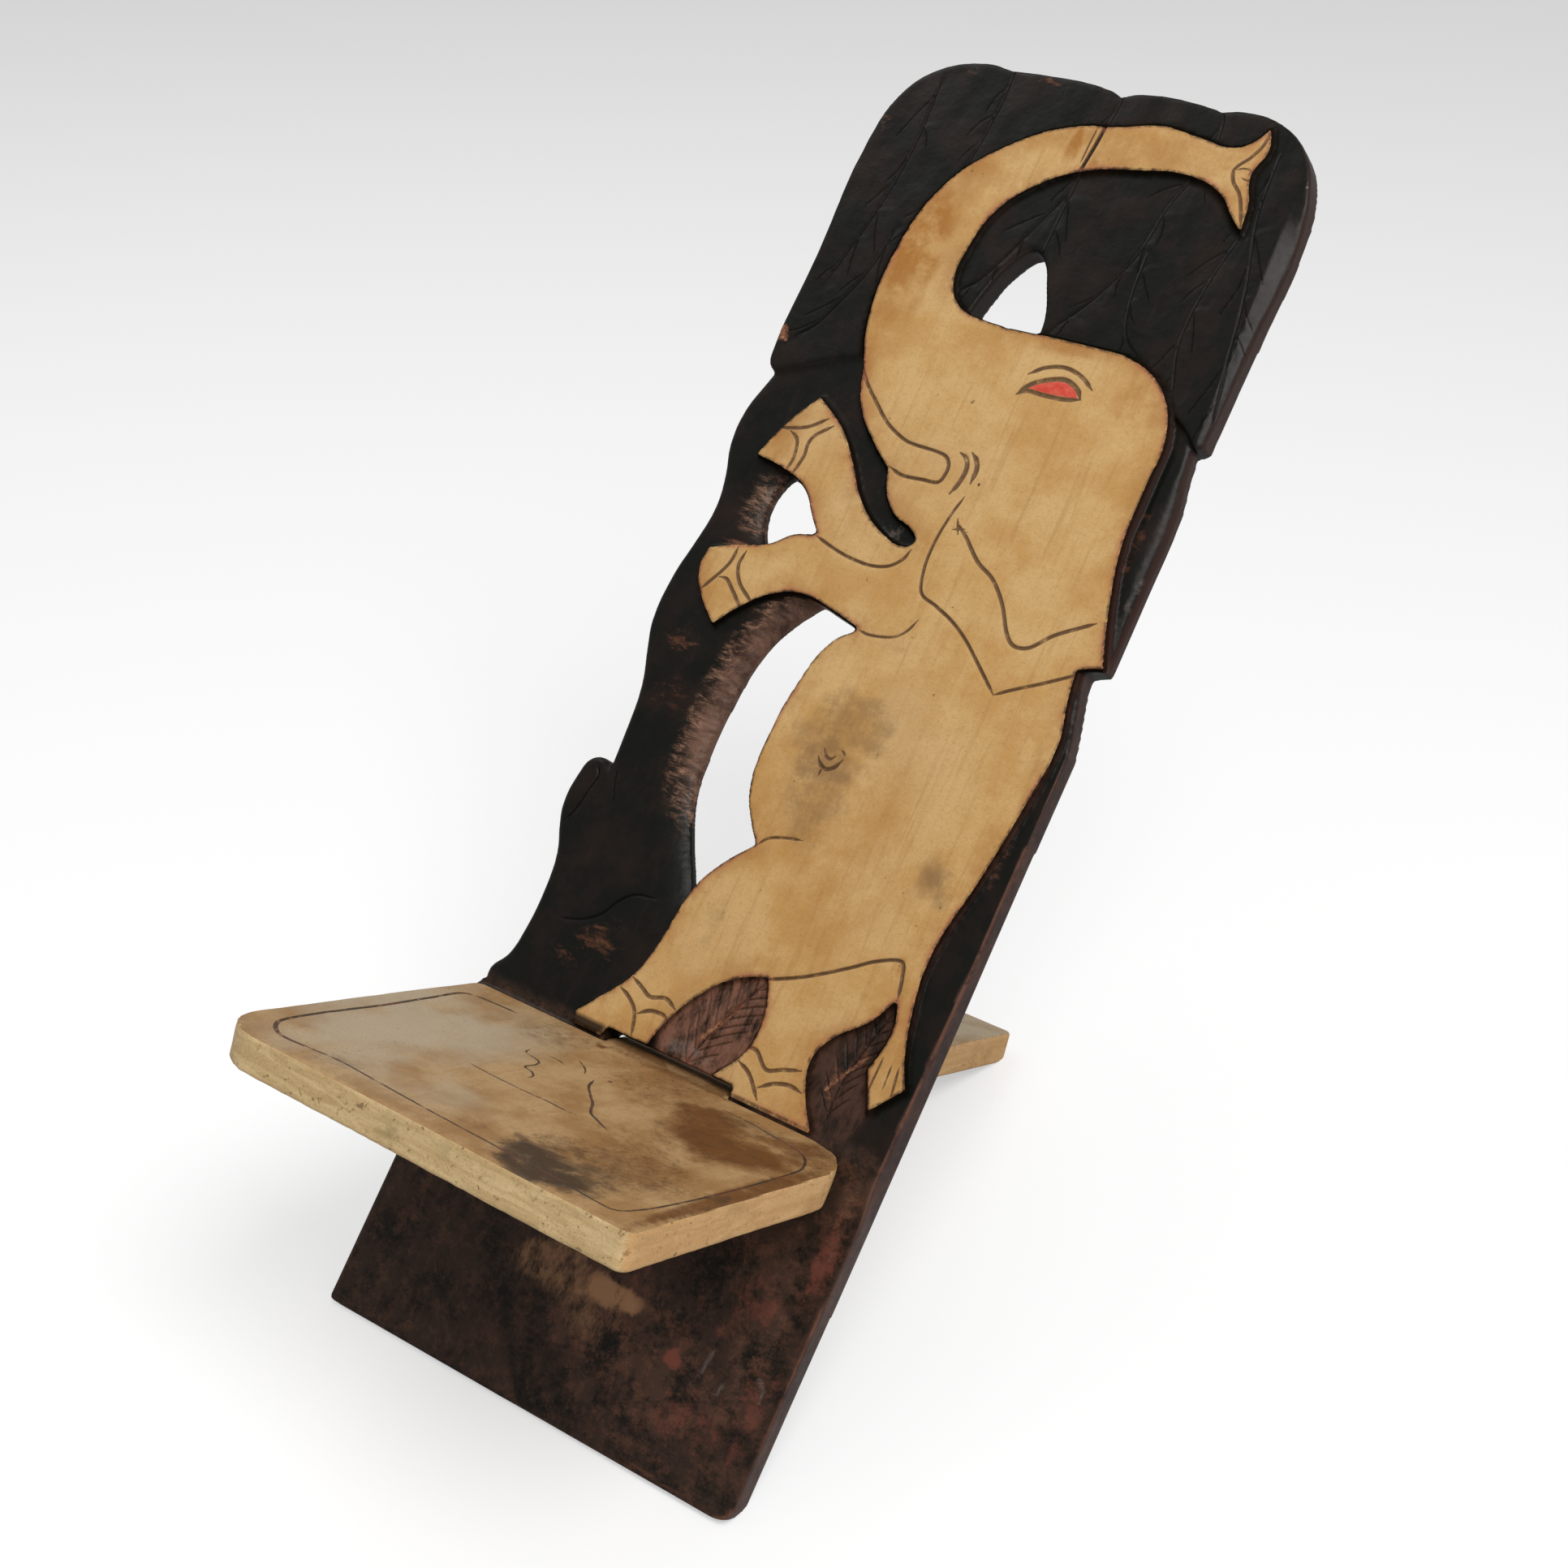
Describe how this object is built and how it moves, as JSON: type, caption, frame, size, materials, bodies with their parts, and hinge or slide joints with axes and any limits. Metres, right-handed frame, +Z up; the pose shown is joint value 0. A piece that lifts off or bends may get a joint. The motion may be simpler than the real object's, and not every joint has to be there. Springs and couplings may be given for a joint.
{
  "type": "birthing chair",
  "caption": "Low two-plank birthing chair: a leaning back board with a pierced elephant relief, and a seat board whose tongue slides through a slot and props it from behind.",
  "frame": {"origin": "on the floor, under the middle of the chair's box", "axes": "+X to the right of someone facing the chair, +Y from the seat's front towards the leaning top of the back board, +Z up"},
  "size_m": [0.3314, 0.7078, 0.6872],
  "materials": {
    "back_board": "hand carved, the figure left in natural wood, the ground stained near black, and both waxed",
    "seat_board": "planed pale wood, worn and stained by use"
  },
  "bodies": {
    "back": {"back_board": "back_board"},
    "seat": {"seat_board": "seat_board"}
  },
  "joints": [
    {"name": "seat_slide", "type": "slide", "parent": "back", "child": "seat", "axis": [0, -0.9171, 0.3987], "range_m": [0, 0.4]}
  ]
}
